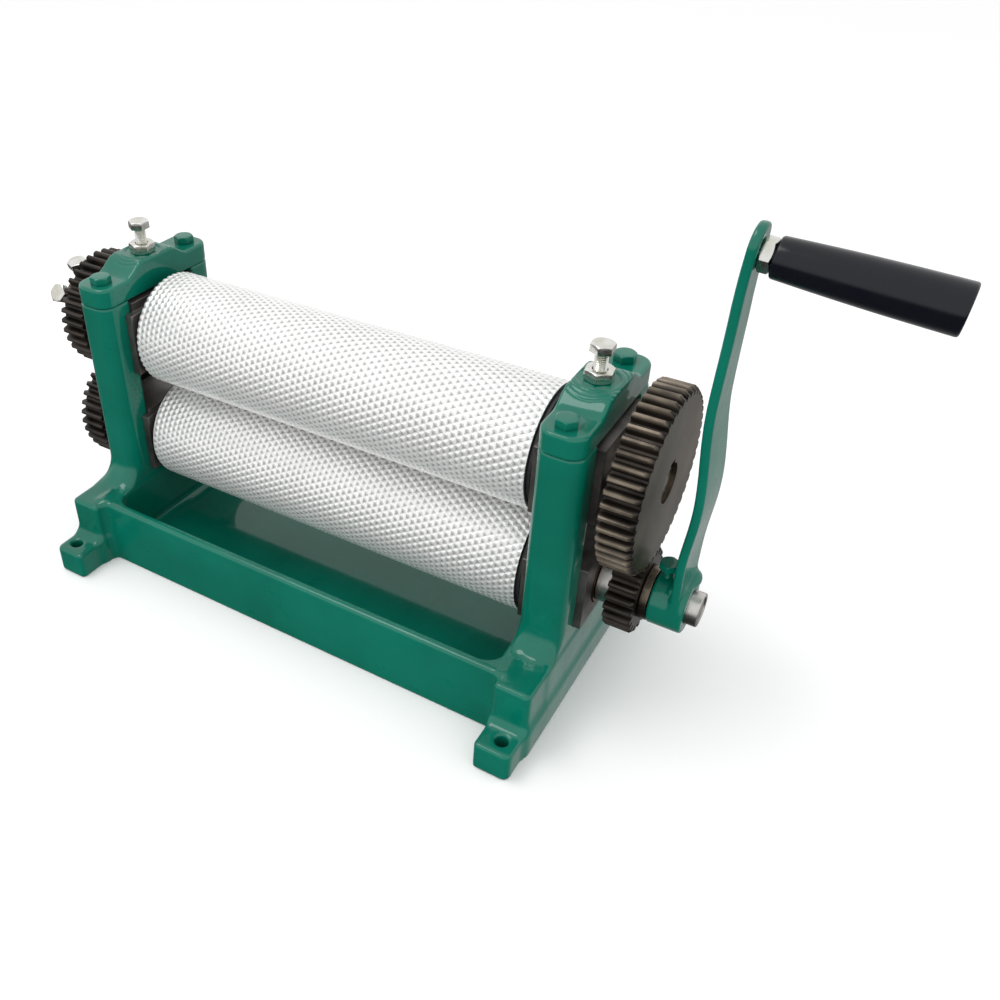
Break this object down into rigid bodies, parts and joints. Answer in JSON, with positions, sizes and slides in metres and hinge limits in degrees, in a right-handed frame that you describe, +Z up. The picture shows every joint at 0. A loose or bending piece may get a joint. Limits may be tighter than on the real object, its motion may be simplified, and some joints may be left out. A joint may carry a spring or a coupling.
{
  "type": "hand-cranked embossing roller mill",
  "caption": "Bench roller mill with an iron trough frame, stacked embossed rollers in sliding bearing blocks, end gears, nip screws and a hand crank.",
  "frame": {"origin": "centre of the frame's flat underside", "axes": "+X along the rollers towards the crank, +Z up, -Y the front the sheet comes out of"},
  "size_m": [0.6037, 0.2412, 0.3342],
  "materials": {
    "green_enamel": "gloss enamel over sand casting",
    "roller_aluminium": "embossed, bright",
    "black_ring": "matte black",
    "gear_steel": "oiled, machined",
    "block_steel": "milled, dull",
    "shaft_steel": "turned",
    "bush_bronze": "turned",
    "zinc_plate": "bright zinc",
    "grip_plastic": "glossy black"
  },
  "bodies": {
    "root": {"frame_casting": "green_enamel", "left_cap": "green_enamel", "right_cap": "green_enamel", "left_front_cap_bolt": "green_enamel", "left_rear_cap_bolt": "green_enamel", "right_front_cap_bolt": "green_enamel", "right_rear_cap_bolt": "green_enamel", "left_screw_lock_nut": "zinc_plate", "right_screw_lock_nut": "zinc_plate", "left_lower_bearing_block": "block_steel", "right_lower_bearing_block": "block_steel", "left_lower_bush": "bush_bronze", "right_lower_bush": "bush_bronze"},
    "upper_carriage": {"left_upper_bearing_block": "block_steel", "right_upper_bearing_block": "block_steel", "left_upper_bush": "bush_bronze", "right_upper_bush": "bush_bronze"},
    "left_screw": {"left_adjusting_screw": "zinc_plate"},
    "right_screw": {"right_adjusting_screw": "zinc_plate"},
    "upper_roller": {"upper_roller_sleeve": "roller_aluminium", "upper_left_end_disc": "black_ring", "upper_right_end_disc": "black_ring", "upper_shaft": "shaft_steel", "upper_timing_gear": "gear_steel", "upper_timing_key": "shaft_steel", "upper_left_spacer": "shaft_steel", "timing_hub": "gear_steel", "timing_screw_1": "zinc_plate", "timing_screw_2": "zinc_plate", "drive_gear": "gear_steel", "drive_gear_key": "shaft_steel", "upper_right_spacer": "shaft_steel"},
    "lower_roller": {"lower_roller_sleeve": "roller_aluminium", "lower_left_end_disc": "black_ring", "lower_right_end_disc": "black_ring", "lower_shaft": "shaft_steel", "lower_timing_gear": "gear_steel", "lower_timing_key": "shaft_steel", "lower_left_spacer": "shaft_steel", "lower_gear_retaining_ring": "shaft_steel", "pinion_spacer": "shaft_steel"},
    "crank": {"drive_pinion": "gear_steel", "crank_washer": "gear_steel", "crank_arm": "green_enamel", "crank_set_screw": "zinc_plate", "handle_spindle": "zinc_plate", "handle_nut": "zinc_plate"},
    "grip": {"handle_grip": "grip_plastic"}
  },
  "joints": [
    {"name": "nip_gap", "type": "slide", "parent": "root", "child": "upper_carriage", "axis": [0, 0, 1], "range_m": [0, 0.0025]},
    {"name": "upper_roller_spin", "type": "hinge", "parent": "upper_carriage", "child": "upper_roller", "pos_m": [0, 0, 0.169], "axis": [1, 0, 0], "continuous": true},
    {"name": "lower_roller_spin", "type": "hinge", "parent": "root", "child": "lower_roller", "pos_m": [0, 0, 0.084], "axis": [1, 0, 0], "continuous": true},
    {"name": "crank_turn", "type": "hinge", "parent": "root", "child": "crank", "pos_m": [0.246, 0, 0.084], "axis": [1, 0, 0], "continuous": true},
    {"name": "grip_spin", "type": "hinge", "parent": "crank", "child": "grip", "pos_m": [0.2496, 0, 0.3187], "axis": [0.9976, 0, -0.0698], "continuous": true},
    {"name": "left_screw_turn", "type": "hinge", "parent": "upper_carriage", "child": "left_screw", "pos_m": [-0.1785, 0, 0.22], "axis": [0, 0, 1], "range_deg": [-10, 730]},
    {"name": "right_screw_turn", "type": "hinge", "parent": "upper_carriage", "child": "right_screw", "pos_m": [0.1785, 0, 0.22], "axis": [0, 0, 1], "range_deg": [-10, 730]}
  ],
  "couplings": [
    {"joint": "lower_roller_spin", "follows": "upper_roller_spin", "ratio": -1},
    {"joint": "crank_turn", "follows": "upper_roller_spin", "ratio": -2.0909},
    {"joint": "left_screw_turn", "follows": "nip_gap", "rad_per_m": 5026.5},
    {"joint": "right_screw_turn", "follows": "nip_gap", "rad_per_m": 5026.5}
  ]
}
